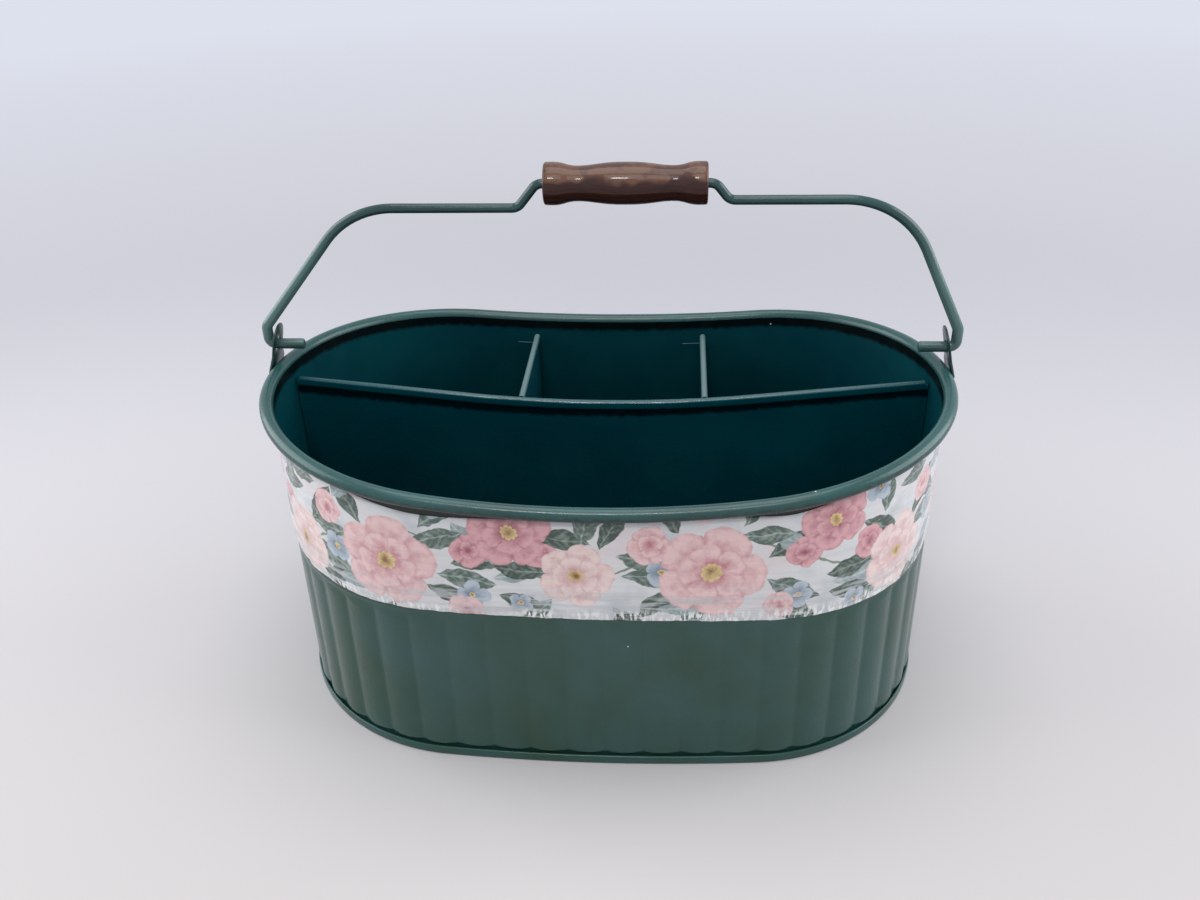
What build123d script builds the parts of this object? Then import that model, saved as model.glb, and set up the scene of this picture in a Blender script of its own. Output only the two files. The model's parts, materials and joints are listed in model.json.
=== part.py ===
from build123d import *
from math import asin, atan, cos, degrees, radians, sin, sqrt, tan
import os

# Oval sheet-metal caddy with four compartments and a swinging bail with a wooden grip.
# X runs along the basket, Y from its front to its back, Z up. The origin is the middle
# of the foot, on the surface that the basket stands on. All sizes are in millimetres.

# Overall sizes, over the rolled rim
rim_length = 330.0
rim_width = 202.0
height_at_ends = 161.2
height_at_middle = 147.9
side_radius = 900.0

# Sheet and wires
sheet = 0.6
rim_bead = 6.5
rim_wire_diameter = 4.8
bail_wire_diameter = 4.4
bail_arm_width = 5.4
film = 0.25

# Clearances: between pieces that lie on each other, and between pieces that move
lay_gap = 0.15
run_gap = 0.35
curl_step = 0.1

# Wall: smooth band on top, rounded ledge, then upright flutes down to the foot seam
ledge_foot = 88.5
ledge_height = 8.0
ledge_inset = 0.85
flute_count = 48
flute_depth = 1.1
flute_top = 84.5
foot_height = 4.8
foot_proud = 1.3
floor_height = 3.4

# Dividers
divider_place = 15.0
divider_drop = 6.6
cross_place_left = -43.5
cross_place_right = 48.5
hem_height = 5.0
hem_thickness = 3.2
hem_end_gap = 1.6
flange_width = 11.0

# Ears that carry the bail
hinge_above_rim = 7.5
ear_width = 15.0
ear_flare = 23.0
ear_shoulder = 4.0
ear_rise = 3.0
ear_lean = 12.0
ear_sheet = 0.9
ear_leg_width = 12.0
ear_leg_length = 12.0
ear_hole_gap = 0.65

# Bail, measured up from its hinge
stub_length = 15.5
elbow_inner_radius = 0.6
knee_radius = 5.0
shoulder_place = 127.0
shoulder_radius = 43.4
run_height_left = 69.1
run_height_right = 72.6
arm_end = 84.0
grip_height = 80.5
crank_length = 7.5
crank_radius = 5.5
bail_lean = 0.149

# Wooden grip
grip_length = 74.0
grip_end_diameter = 19.3
grip_neck_diameter = 15.8
grip_belly_diameter = 19.0
grip_collar = 6.0
grip_neck_place = 20.5
grip_bore_gap = 0.4
grip_chamfer = 1.0

# Plan of the rim's centre line: four tangent arcs
bead_radius = rim_bead / 2
half_length = rim_length / 2 - bead_radius
half_width = rim_width / 2 - bead_radius
end_radius = (2 * side_radius * half_width - half_width**2 - half_length**2) / (2 * (side_radius - half_length))
end_centre = half_length - end_radius
side_centre = side_radius - half_width
end_angle = 90 - degrees(atan(end_centre / side_centre))
joint_x = end_centre + end_radius * cos(radians(end_angle))

# Saddle of the rim: a dip along the sides that rises in a straight slope round the ends
rim_end_z = height_at_ends - bead_radius
rim_middle_z = height_at_middle - bead_radius
rim_slope = (rim_end_z - rim_middle_z) / (half_length - joint_x / 2)
slope_shortening = cos(atan(rim_slope))
saddle_x = half_length - (half_length - joint_x) * slope_shortening
saddle_y = sqrt(side_radius**2 - saddle_x**2) - side_centre
saddle_z = rim_middle_z + rim_slope * saddle_x / 2

# Distances outwards from the rim's centre line
band_outer = sheet - bead_radius + curl_step
neck_outer = band_outer - ledge_inset
flute_middle = neck_outer - sheet / 3
flute_inner = flute_middle - flute_depth / 2 - sheet / 2
foot_outer = neck_outer + foot_proud
flute_foot = foot_height + 2 * lay_gap
ledge_top = ledge_foot + ledge_height
ledge_radius = (ledge_height**2 + ledge_inset**2) / (2 * ledge_inset)
ledge_angle = degrees(asin(ledge_height / ledge_radius))

# Hinge of the bail
hinge_y = divider_place
hinge_z = height_at_ends + hinge_above_rim
ear_inner_x = rim_length / 2 + lay_gap
ear_outer_x = ear_inner_x + ear_sheet
ear_slope = tan(radians(ear_lean))
ear_bend_z = rim_end_z + (bead_radius + lay_gap) * tan(radians(ear_lean / 2))
ear_top_z = hinge_z + ear_rise + ear_width / 2
ear_at_hinge_x = ear_inner_x - (hinge_z - ear_bend_z) * ear_slope
elbow_x = ear_at_hinge_x + ear_sheet / cos(radians(ear_lean)) + 2 * run_gap + bail_arm_width / 2
elbow_radius = bail_arm_width / 2 + elbow_inner_radius
ear_hole_diameter = bail_arm_width + 2 * ear_hole_gap
above = 60.0


def oval(grow):
    """Closed plan outline, grown outwards from the rim's centre line."""
    with BuildLine() as outline:
        CenterArc((end_centre, 0), end_radius + grow, -end_angle, 2 * end_angle)
        CenterArc((0, -side_centre), side_radius + grow, end_angle, 180 - 2 * end_angle)
        CenterArc((-end_centre, 0), end_radius + grow, 180 - end_angle, 2 * end_angle)
        CenterArc((0, side_centre), side_radius + grow, 180 + end_angle, 180 - 2 * end_angle)
    return outline


def oval_from_tip():
    """The same plan line as a path that starts at the right-hand tip, for sections swept round it."""
    with BuildLine() as outline:
        CenterArc((end_centre, 0), end_radius, 0, end_angle)
        CenterArc((0, -side_centre), side_radius, end_angle, 180 - 2 * end_angle)
        CenterArc((-end_centre, 0), end_radius, 180 - end_angle, 2 * end_angle)
        CenterArc((0, side_centre), side_radius, 180 + end_angle, 180 - 2 * end_angle)
        CenterArc((end_centre, 0), end_radius, -end_angle, end_angle)
    return outline.wire()


def scalloped(grow):
    """Closed plan outline with rounded flutes that meet in sharp valleys."""
    plan = oval(0).wire()
    valley = flute_middle + grow - flute_depth / 2
    crest = flute_middle + grow + flute_depth / 2

    def out(share, distance):
        outwards = (plan % share).cross(Vector(0, 0, 1))
        if outwards.dot(plan @ share) < 0:
            outwards = outwards * -1
        return plan @ share + outwards * distance

    with BuildLine() as outline:
        for index in range(flute_count):
            start = out(index / flute_count, valley)
            top = out((index + 0.5) / flute_count, crest)
            end = out(((index + 1) % flute_count) / flute_count, valley)
            ThreePointArc(start, top, end)
    return outline


def saddle_z_at(x):
    """Height of the rim's centre line at a place along the basket."""
    if abs(x) < saddle_x:
        return rim_middle_z + rim_slope * x**2 / (2 * saddle_x)
    return saddle_z + rim_slope * (abs(x) - saddle_x)


def over_saddle(drop):
    """Side view of all that lies over the rim's centre line, lowered by a drop."""
    far_x = half_length + above
    far_z = saddle_z_at(far_x) - drop
    joint_z = saddle_z - drop
    with BuildLine() as outline:
        ThreePointArc((-saddle_x, joint_z), (0, rim_middle_z - drop), (saddle_x, joint_z))
        Polyline(
            (saddle_x, joint_z),
            (far_x, far_z),
            (far_x, far_z + above),
            (-far_x, far_z + above),
            (-far_x, far_z),
            (-saddle_x, joint_z),
        )
    return outline


# Rim's centre line in space, counter-clockwise seen from above
with BuildLine() as rim_line:
    rear_side = ThreePointArc(
        (saddle_x, saddle_y, saddle_z), (0, half_width, rim_middle_z), (-saddle_x, saddle_y, saddle_z)
    )
    left_end = TangentArc(
        (-saddle_x, saddle_y, saddle_z), (-saddle_x, -saddle_y, saddle_z), tangent=rear_side % 1
    )
    front_side = ThreePointArc(
        (-saddle_x, -saddle_y, saddle_z), (0, -half_width, rim_middle_z), (saddle_x, -saddle_y, saddle_z)
    )
    right_end = TangentArc(
        (saddle_x, -saddle_y, saddle_z), (saddle_x, saddle_y, saddle_z), tangent=front_side % 1
    )
rim_arcs = [rear_side, left_end, front_side, right_end]


def rim_plane(arc):
    """Plane square to the start of an arc of the rim, x outwards and y up."""
    along = arc % 0
    return Plane(origin=arc @ 0, x_dir=along.cross(Vector(0, 0, 1)), z_dir=along * -1)


# Section of the sheet wall, drawn at the right-hand tip
tip_plane = Plane(origin=(half_length, 0, 0), x_dir=(1, 0, 0), z_dir=(0, -1, 0))
tip_path = oval_from_tip()

# Channel inside the rolled rim, where the wire lies
with BuildPart() as wire_channel:
    for rim_arc in rim_arcs:
        with BuildSketch(rim_plane(rim_arc)):
            Circle(bead_radius - sheet)
        sweep(path=rim_arc)

# Wall: one sheet with its foot flange, flutes, ledge, band and rolled rim
with BuildPart() as body_wall:
    flange_outer = foot_outer - sheet - lay_gap
    flange_z = sheet + lay_gap
    with BuildSketch(tip_plane):
        with BuildLine():
            lower_outer = Polyline(
                (neck_outer - sheet, flange_z),
                (flange_outer, flange_z),
                (flange_outer, flange_z + sheet),
                (neck_outer, flange_z + sheet),
                (neck_outer, ledge_foot),
            )
            outer_ledge = CenterArc(
                (band_outer - ledge_radius, ledge_top), ledge_radius, -ledge_angle, ledge_angle
            )
            upper = Polyline(
                (band_outer, ledge_top),
                (band_outer, rim_end_z + sheet),
                (band_outer - sheet, rim_end_z + sheet),
                (band_outer - sheet, ledge_top),
            )
            inner_ledge = CenterArc(
                (band_outer - ledge_radius, ledge_top), ledge_radius - sheet, -ledge_angle, ledge_angle
            )
            Line(outer_ledge @ 0, lower_outer @ 1)
            Polyline(inner_ledge @ 0, (neck_outer - sheet, ledge_foot), lower_outer @ 0)
        make_face()
    sweep(path=tip_path)
    # the smooth neck gives way to the flutes
    with BuildSketch(Plane.XY.offset(flute_foot + sheet)):
        make_face(oval(neck_outer + flute_depth).edges())
        make_face(oval(neck_outer - sheet - flute_depth).edges(), mode=Mode.SUBTRACT)
    extrude(amount=flute_top - flute_foot - 2 * sheet, mode=Mode.SUBTRACT)
    with BuildSketch(Plane.XY.offset(flute_foot)):
        make_face(scalloped(sheet / 2).edges())
        make_face(scalloped(-sheet / 2).edges(), mode=Mode.SUBTRACT)
    extrude(amount=flute_top - flute_foot)
    # the top follows the saddle of the rim
    with BuildSketch(Plane.XZ):
        make_face(over_saddle(-sheet / 2).edges())
    extrude(amount=rim_width, both=True, mode=Mode.SUBTRACT)
    # the sheet's edge curls outwards, right round the rim wire and back to the wall
    for rim_arc in rim_arcs:
        with BuildSketch(rim_plane(rim_arc)):
            Circle(bead_radius)
        sweep(path=rim_arc)
    add(wire_channel.part, mode=Mode.SUBTRACT)

# Wire inside the rolled rim
with BuildPart() as rim_wire:
    for rim_arc in rim_arcs:
        with BuildSketch(rim_plane(rim_arc)):
            Circle(rim_wire_diameter / 2)
        sweep(path=rim_arc)

# Floor, folded down and round the wall's flange as the foot seam
with BuildPart() as base_plate:
    chuck_outer = neck_outer - sheet - lay_gap
    fold_inner = neck_outer + lay_gap
    with BuildSketch(tip_plane):
        with BuildLine():
            Polyline(
                (chuck_outer - sheet, floor_height + sheet),
                (chuck_outer - sheet, 0),
                (foot_outer, 0),
                (foot_outer, foot_height),
                (fold_inner, foot_height),
                (fold_inner, foot_height - sheet),
                (foot_outer - sheet, foot_height - sheet),
                (foot_outer - sheet, sheet),
                (chuck_outer, sheet),
                (chuck_outer, floor_height + sheet),
                close=True,
            )
        make_face()
    sweep(path=tip_path)
    with BuildSketch(Plane.XY.offset(floor_height)):
        make_face(oval(chuck_outer - sheet / 2).edges())
    extrude(amount=sheet)

# Dividers stand on the floor, and their flanges lie against the crests inside the wall
floor_top = floor_height + sheet + lay_gap
flange_outer_face = flute_inner - lay_gap


def wall_flange(box_low, box_high, top_drop):
    """Upright strip along the inside of the wall, between two corners in plan."""
    with BuildPart() as strip:
        with BuildSketch(Plane.XY.offset(floor_top)):
            make_face(oval(flange_outer_face).edges())
            make_face(oval(flange_outer_face - sheet).edges(), mode=Mode.SUBTRACT)
            with BuildLine():
                Polyline(
                    box_low, (box_high[0], box_low[1]), box_high, (box_low[0], box_high[1]), close=True
                )
            make_face(mode=Mode.INTERSECT)
        extrude(amount=height_at_ends)
        with BuildSketch(Plane.XZ):
            make_face(over_saddle(top_drop).edges())
        extrude(amount=rim_width, both=True, mode=Mode.SUBTRACT)
    return strip.part


def end_reach(y, grow):
    """How far the plan outline reaches along X at a place across the basket."""
    return end_centre + sqrt((end_radius + grow) ** 2 - y**2)


def side_reach(x, grow):
    """How far the plan outline reaches along Y at a place along the basket."""
    return sqrt((side_radius + grow) ** 2 - x**2) - side_centre


flange_drop = divider_drop + hem_height + 1
hem_middle_drop = divider_drop + hem_height / 2
divider_end = end_reach(divider_place, flange_outer_face - sheet / 2)
right_flange = wall_flange((0, divider_place), (rim_length, divider_place + flange_width), flange_drop)
left_flange = wall_flange((-rim_length, divider_place), (0, divider_place + flange_width), flange_drop)

with BuildPart() as long_divider:
    with BuildSketch(Plane.XZ.offset(-divider_place)):
        with BuildLine():
            Polyline(
                (-divider_end, floor_top),
                (divider_end, floor_top),
                (divider_end, height_at_ends),
                (-divider_end, height_at_ends),
                close=True,
            )
        make_face()
        make_face(over_saddle(hem_middle_drop).edges(), mode=Mode.SUBTRACT)
    extrude(amount=sheet / 2, both=True)
    # rolled hem along the top
    hem_end = divider_end - hem_end_gap
    hem_end_z = saddle_z_at(hem_end) - hem_middle_drop
    hem_joint_z = saddle_z - hem_middle_drop
    with BuildLine() as hem_line:
        Line((-hem_end, divider_place, hem_end_z), (-saddle_x, divider_place, hem_joint_z))
        ThreePointArc(
            (-saddle_x, divider_place, hem_joint_z),
            (0, divider_place, rim_middle_z - hem_middle_drop),
            (saddle_x, divider_place, hem_joint_z),
        )
        Line((saddle_x, divider_place, hem_joint_z), (hem_end, divider_place, hem_end_z))
    hem_path = hem_line.wire()
    with BuildSketch(Plane(origin=hem_path @ 0, x_dir=(0, 1, 0), z_dir=hem_path % 0)):
        SlotOverall(hem_height, hem_thickness, rotation=90)
    sweep(path=hem_path)
    add(right_flange)
    add(left_flange)


def cross_divider(x):
    """Cross divider at a place along the basket, flanged front and rear towards the left."""
    front = divider_place + hem_thickness / 2 + lay_gap
    rear = side_reach(x, flange_outer_face - sheet / 2)
    top = saddle_z_at(x) - divider_drop
    rear_strip = wall_flange((x - flange_width, 0), (x, rim_width), flange_drop)
    with BuildPart() as divider:
        with BuildSketch(Plane.YZ.offset(x)):
            with BuildLine():
                Polyline(
                    (front, floor_top), (rear, floor_top), (rear, top - hem_height / 2),
                    (front, top - hem_height / 2), close=True,
                )
            make_face()
        extrude(amount=sheet / 2, both=True)
        # rolled hem along the top
        with BuildSketch(Plane.XZ.offset(-front)):
            with Locations((x, top - hem_height / 2)):
                SlotOverall(hem_height, hem_thickness, rotation=90)
        extrude(amount=front + hem_end_gap - rear)
        # front flange against the long divider, from below its hem
        with BuildSketch(Plane.XZ.offset(-(divider_place + sheet / 2 + lay_gap))):
            with BuildLine():
                Polyline(
                    (x - flange_width, floor_top), (x, floor_top), (x, top - hem_height - 1),
                    (x - flange_width, top - hem_height - 1), close=True,
                )
            make_face()
        extrude(amount=-sheet)
        with BuildSketch(Plane.YZ.offset(x)):
            with BuildLine():
                Polyline(
                    (divider_place + sheet / 2 + lay_gap, floor_top), (front + sheet, floor_top),
                    (front + sheet, top - hem_height - 1),
                    (divider_place + sheet / 2 + lay_gap, top - hem_height - 1), close=True,
                )
            make_face()
        extrude(amount=sheet / 2, both=True)
        add(rear_strip)
    return divider.part


cross_divider_left = cross_divider(cross_place_left)
cross_divider_right = cross_divider(cross_place_right)


# Legs of the ears end just under the rim, where it is lowest over them
leg_corner_x = end_reach(hinge_y + ear_leg_width / 2, band_outer)
leg_top = saddle_z_at(leg_corner_x) - bead_radius - lay_gap
leg_foot = leg_top - ear_leg_length


def ear(side):
    """Ear on one end: leg on the wall, fold under the rim, and a plate that leans in, with the hinge hole."""
    leg = ear_leg_width / 2
    half = ear_width / 2
    flare = ear_flare / 2
    top_x = ear_inner_x - (ear_top_z - ear_bend_z) * ear_slope
    outer_bend_z = ear_bend_z + ear_sheet * tan(radians(ear_lean / 2))
    thickness_x = ear_sheet / cos(radians(ear_lean))
    with BuildPart() as plate:
        # the bent strip seen from the front
        with BuildSketch(Plane.XZ.offset(-hinge_y)):
            with BuildLine():
                Polyline(
                    (ear_inner_x, leg_top - ear_sheet), (ear_outer_x, leg_top - ear_sheet),
                    (ear_outer_x, outer_bend_z), (top_x + thickness_x, ear_top_z),
                    (top_x, ear_top_z), (ear_inner_x, ear_bend_z), close=True,
                )
            make_face()
        extrude(amount=flare, both=True)
        # its outline seen from the end
        with BuildSketch(Plane.YZ.offset(ear_outer_x + ear_sheet)):
            with BuildLine():
                neck = Polyline(
                    (hinge_y - half, hinge_z + ear_rise), (hinge_y - half, hinge_z - ear_shoulder),
                    (hinge_y - flare, rim_end_z), (hinge_y - leg, leg_top),
                    (hinge_y - leg, leg_top - ear_sheet), (hinge_y + leg, leg_top - ear_sheet),
                    (hinge_y + leg, leg_top), (hinge_y + flare, rim_end_z),
                    (hinge_y + half, hinge_z - ear_shoulder), (hinge_y + half, hinge_z + ear_rise),
                )
                ThreePointArc(neck @ 1, (hinge_y, ear_top_z), neck @ 0)
            make_face()
        extrude(amount=-ear_width, mode=Mode.INTERSECT)
        # fold under the rim and leg on the wall
        with BuildSketch(Plane.XY.offset(leg_top - ear_sheet)):
            with BuildLine():
                Polyline(
                    (end_centre, hinge_y - leg), (ear_outer_x, hinge_y - leg),
                    (ear_outer_x, hinge_y + leg), (end_centre, hinge_y + leg), close=True,
                )
            make_face()
            make_face(oval(band_outer + lay_gap).edges(), mode=Mode.SUBTRACT)
        extrude(amount=ear_sheet)
        with BuildSketch(Plane.XY.offset(leg_foot)):
            make_face(oval(band_outer + lay_gap + ear_sheet).edges())
            make_face(oval(band_outer + lay_gap).edges(), mode=Mode.SUBTRACT)
            with BuildLine():
                Polyline(
                    (end_centre, hinge_y - leg), (ear_outer_x, hinge_y - leg),
                    (ear_outer_x, hinge_y + leg), (end_centre, hinge_y + leg), close=True,
                )
            make_face(mode=Mode.INTERSECT)
        extrude(amount=ear_leg_length)
        with BuildSketch(Plane.YZ.offset(ear_at_hinge_x)):
            with Locations((hinge_y, hinge_z)):
                Circle(ear_hole_diameter / 2)
        extrude(amount=2 * ear_sheet, both=True, mode=Mode.SUBTRACT)
        if side < 0:
            mirror(about=Plane.YZ, mode=Mode.REPLACE)
    return plate.part


ear_left = ear(-1)
ear_right = ear(1)

# Printed film glued round the band, its lower edge drawn in over the ledge
film_inner = band_outer + lay_gap / 2
with BuildPart() as floral_band:
    with BuildSketch(tip_plane):
        with BuildLine():
            film_outer_ledge = CenterArc(
                (band_outer - ledge_radius, ledge_top),
                ledge_radius + film_inner - band_outer + film, -ledge_angle, ledge_angle,
            )
            film_inner_ledge = CenterArc(
                (band_outer - ledge_radius, ledge_top),
                ledge_radius + film_inner - band_outer, -ledge_angle, ledge_angle,
            )
            Polyline(
                film_outer_ledge @ 1, (film_inner + film, rim_end_z), (film_inner, rim_end_z),
                film_inner_ledge @ 1,
            )
            Line(film_inner_ledge @ 0, film_outer_ledge @ 0)
        make_face()
    sweep(path=tip_path)
    with BuildSketch(Plane.XZ):
        make_face(over_saddle(bead_radius + lay_gap).edges())
    extrude(amount=rim_width, both=True, mode=Mode.SUBTRACT)
    # notches round the ears' legs
    notch_foot = leg_foot - run_gap
    with BuildSketch(Plane.YZ):
        with BuildLine():
            notch = ear_leg_width / 2 + run_gap
            Polyline(
                (hinge_y - notch, notch_foot), (hinge_y + notch, notch_foot),
                (hinge_y + notch, height_at_ends), (hinge_y - notch, height_at_ends), close=True,
            )
        make_face()
    extrude(amount=rim_length, both=True, mode=Mode.SUBTRACT)

# Bail: one wire from stub to stub, through the wooden grip. Its top is round, and its arms are
# pressed wider and wider down to the stubs.
knee_height = ear_width / 2 + run_gap + knee_radius * 0.3


def leaned(x, height):
    """A point of the bail, which was bent a little towards the right above its knees."""
    return (x + bail_lean * max(height - knee_height, 0), hinge_y, hinge_z + height)


grip_middle = leaned(0, grip_height)
crank_top = grip_length / 2 + run_gap + crank_radius * 0.6
crank_foot = crank_top + crank_length
with BuildPart() as bail_wire:
    with BuildLine() as top_line:
        FilletPolyline(
            leaned(-arm_end, run_height_left),
            leaned(-crank_foot, run_height_left),
            leaned(-crank_top, grip_height),
            leaned(crank_top, grip_height),
            leaned(crank_foot, run_height_right),
            leaned(arm_end, run_height_right),
            radius=crank_radius,
        )
    with BuildSketch(Plane(origin=top_line.wire() @ 0, z_dir=top_line.wire() % 0)):
        Circle(bail_wire_diameter / 2)
    sweep(path=top_line.wire())
    for side, run_height in ((-1, run_height_left), (1, run_height_right)):
        with BuildLine() as arm_line:
            FilletPolyline(
                leaned(side * (ear_inner_x - stub_length), 0),
                leaned(side * elbow_x, 0),
                leaned(side * elbow_x, knee_height),
                leaned(side * shoulder_place, run_height),
                leaned(side * arm_end, run_height),
                radius=[elbow_radius, knee_radius, shoulder_radius],
            )
        arm = arm_line.wire()
        with BuildSketch(Plane(origin=arm @ 0, x_dir=(0, 1, 0), z_dir=arm % 0)) as stub_section:
            Ellipse(bail_wire_diameter / 2, bail_arm_width / 2)
        with BuildSketch(Plane(origin=arm @ 1, x_dir=(0, 1, 0), z_dir=arm % 1)) as top_section:
            Circle(bail_wire_diameter / 2)
        sweep(sections=[stub_section.sketch, top_section.sketch], path=arm, multisection=True)

# Turned wooden grip, bored to spin on the wire
with BuildPart() as wooden_grip:
    with BuildSketch(Plane(origin=grip_middle, x_dir=(1, 0, 0), z_dir=(0, -1, 0))):
        half_grip = grip_length / 2
        bore = bail_wire_diameter / 2 + grip_bore_gap
        with BuildLine():
            right_collar = Polyline(
                (half_grip, bore),
                (half_grip, grip_end_diameter / 2 - grip_chamfer),
                (half_grip - grip_chamfer, grip_end_diameter / 2),
                (half_grip - grip_collar, grip_end_diameter / 2),
            )
            left_collar = Polyline(
                (-half_grip + grip_collar, grip_end_diameter / 2),
                (-half_grip + grip_chamfer, grip_end_diameter / 2),
                (-half_grip, grip_end_diameter / 2 - grip_chamfer),
                (-half_grip, bore),
            )
            Spline(
                right_collar @ 1,
                (grip_neck_place, grip_neck_diameter / 2),
                (0, grip_belly_diameter / 2),
                (-grip_neck_place, grip_neck_diameter / 2),
                left_collar @ 0,
                tangents=((-1, -0.25), (-1, 0.25)),
            )
            Line(left_collar @ 1, right_collar @ 0)
        make_face()
    revolve(axis=Axis(grip_middle, (1, 0, 0)))

# Finished pieces
pieces = {
    "body_wall": body_wall.part,
    "rim_wire": rim_wire.part,
    "base_plate": base_plate.part,
    "long_divider": long_divider.part,
    "cross_divider_left": cross_divider_left,
    "cross_divider_right": cross_divider_right,
    "ear_left": ear_left,
    "ear_right": ear_right,
    "floral_band": floral_band.part,
    "bail_wire": bail_wire.part,
    "wooden_grip": wooden_grip.part,
}
os.makedirs("parts", exist_ok=True)
for name, piece in pieces.items():
    piece.label = name
    export_step(piece, "parts/" + name + ".step")
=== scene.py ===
import json
from math import atan, atan2, cos, exp, pi, radians, sin, sqrt

import bmesh
import bpy
from mathutils import Matrix, Vector, noise

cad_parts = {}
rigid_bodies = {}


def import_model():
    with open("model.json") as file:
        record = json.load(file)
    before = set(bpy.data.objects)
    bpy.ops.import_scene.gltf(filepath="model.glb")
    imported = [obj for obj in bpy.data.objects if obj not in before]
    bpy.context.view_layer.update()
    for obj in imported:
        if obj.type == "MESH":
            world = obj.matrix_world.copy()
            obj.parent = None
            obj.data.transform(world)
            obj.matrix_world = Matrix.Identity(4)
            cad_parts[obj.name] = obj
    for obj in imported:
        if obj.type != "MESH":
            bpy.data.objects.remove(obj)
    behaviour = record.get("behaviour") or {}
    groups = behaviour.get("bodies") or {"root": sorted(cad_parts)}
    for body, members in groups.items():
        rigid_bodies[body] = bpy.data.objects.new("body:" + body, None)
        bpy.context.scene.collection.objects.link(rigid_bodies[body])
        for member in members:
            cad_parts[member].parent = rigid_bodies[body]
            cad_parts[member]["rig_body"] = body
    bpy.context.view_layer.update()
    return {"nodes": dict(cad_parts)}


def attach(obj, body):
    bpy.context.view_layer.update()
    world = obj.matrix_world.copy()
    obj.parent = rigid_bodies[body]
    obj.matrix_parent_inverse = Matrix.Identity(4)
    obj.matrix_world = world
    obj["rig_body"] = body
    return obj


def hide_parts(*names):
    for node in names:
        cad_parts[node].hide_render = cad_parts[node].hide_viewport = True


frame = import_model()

# Oval enamelled caddy with a printed band, fluted wall, four compartments and a swinging bail.
# Lengths are in millimetres and turned to metres by MM, apart from those of the stage and its lamps.
MM = 0.001

# Sizes shared with the CAD model
RIM_LENGTH, RIM_WIDTH, SIDE_RADIUS = 330.0, 202.0, 900.0
HEIGHT_AT_ENDS, HEIGHT_AT_MIDDLE = 161.2, 147.9
SHEET, FILM, BEAD_RADIUS = 0.6, 0.25, 3.25
CURL_STEP, LAY_GAP = 0.1, 0.15
LEDGE_FOOT, LEDGE_TOP, LEDGE_INSET = 88.5, 96.5, 0.85
FLUTES, FLUTE_DEPTH, VALLEY_SET_BACK = 48, 1.1, 0.45
FOOT_HEIGHT, FOOT_PROUD, FLOOR_HEIGHT = 4.8, 1.3, 3.4
HINGE_Y, EAR_LEG_WIDTH = 15.0, 12.0
GRIP_X, GRIP_Z = 10.6, 249.2

# Flutes of the visible wall fade out under the ledge, over a stretch below FLUTE_TOP
FLUTE_TOP, FLUTE_FADE, FLUTE_FOOT = 85.5, 5.0, 6.4
# Slight roll under the ledge, where the sheet was pressed in
ROLL_HEIGHT, ROLL_SPREAD, ROLL_PROUD = 86.8, 0.9, 0.3
# Groove between the wall and the fold of the foot seam, and the wall's turn into it
GROOVE_DEPTH, TURN_IN, TURN_HEIGHT = 1.0, 0.35, 0.3
# Unevenness of the pressed wall and of the rolled bead
WALL_RIPPLE, BEAD_DENT = 0.06, 0.05
# Floor pan: share of the rim's length that the middle of its floor takes, then the outer radius of
# each bend from the floor to the tip of the fold
FLOOR_SPINE = 0.4
CHUCK_BEND, HEEL_BEND, TOE_BEND, SEAM_BEND, TIP_BEND = 1.2, 0.5, 1.0, 0.5, 0.35
# A piece that is splayed spreads beyond SPLAY_REACH, by its full splay at SPLAY_HEIGHT
SPLAY_REACH, SPLAY_HEIGHT = 150.0, 140.0
# Corners this close together are made one, in the scene's own meshes and in copies of CAD pieces
WELD, CAD_WELD = 0.001, 0.002

# Plan of the rim's centre line: four tangent arcs, walked anticlockwise from the rear middle
half_length = RIM_LENGTH / 2 - BEAD_RADIUS
half_width = RIM_WIDTH / 2 - BEAD_RADIUS
end_radius = (2 * SIDE_RADIUS * half_width - half_width**2 - half_length**2) / (
    2 * (SIDE_RADIUS - half_length)
)
end_centre = half_length - end_radius
side_centre = SIDE_RADIUS - half_width
lean = atan(end_centre / side_centre)
PLAN_ARCS = [
    (0, -side_centre, SIDE_RADIUS, pi / 2, lean),
    (-end_centre, 0, end_radius, pi / 2 + lean, pi - 2 * lean),
    (0, side_centre, SIDE_RADIUS, 1.5 * pi - lean, 2 * lean),
    (end_centre, 0, end_radius, -pi / 2 + lean, pi - 2 * lean),
    (0, -side_centre, SIDE_RADIUS, pi / 2 - lean, lean),
]
GIRTH = sum(radius * sweep for _, _, radius, _, sweep in PLAN_ARCS)
# share of the way round at which a valley between two flutes lies
FLUTE_START = (3 * SIDE_RADIUS * lean + end_radius * (pi - 2 * lean)) / GIRTH

# Outer faces of the band and the neck, outwards from the rim's centre line, and saddle of the rim
band_out = SHEET - BEAD_RADIUS + CURL_STEP
neck_out = band_out - LEDGE_INSET
joint_x = end_centre + end_radius * sin(lean)
rim_end_z = HEIGHT_AT_ENDS - BEAD_RADIUS
rim_middle_z = HEIGHT_AT_MIDDLE - BEAD_RADIUS
rim_slope = (rim_end_z - rim_middle_z) / (half_length - joint_x / 2)


def rim_z(x):
    """Height of the rim's centre line at a place along the basket."""
    if abs(x) < joint_x:
        return rim_middle_z + rim_slope * x * x / (2 * joint_x)
    return rim_middle_z + rim_slope * (abs(x) - joint_x / 2)


def plan_place(share):
    """Point of the rim's plan and its outward direction, a share of the way round."""
    distance = (share % 1.0) * GIRTH
    for centre_x, centre_y, radius, start, sweep in PLAN_ARCS:
        if distance <= radius * sweep + 1e-6:
            break
        distance -= radius * sweep
    turn = start + distance / radius
    outward = Vector((cos(turn), sin(turn), 0))
    return Vector((centre_x, centre_y, 0)) + outward * radius, outward


def clamped(value):
    """A value held between 0 and 1."""
    return min(max(value, 0), 1)


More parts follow.
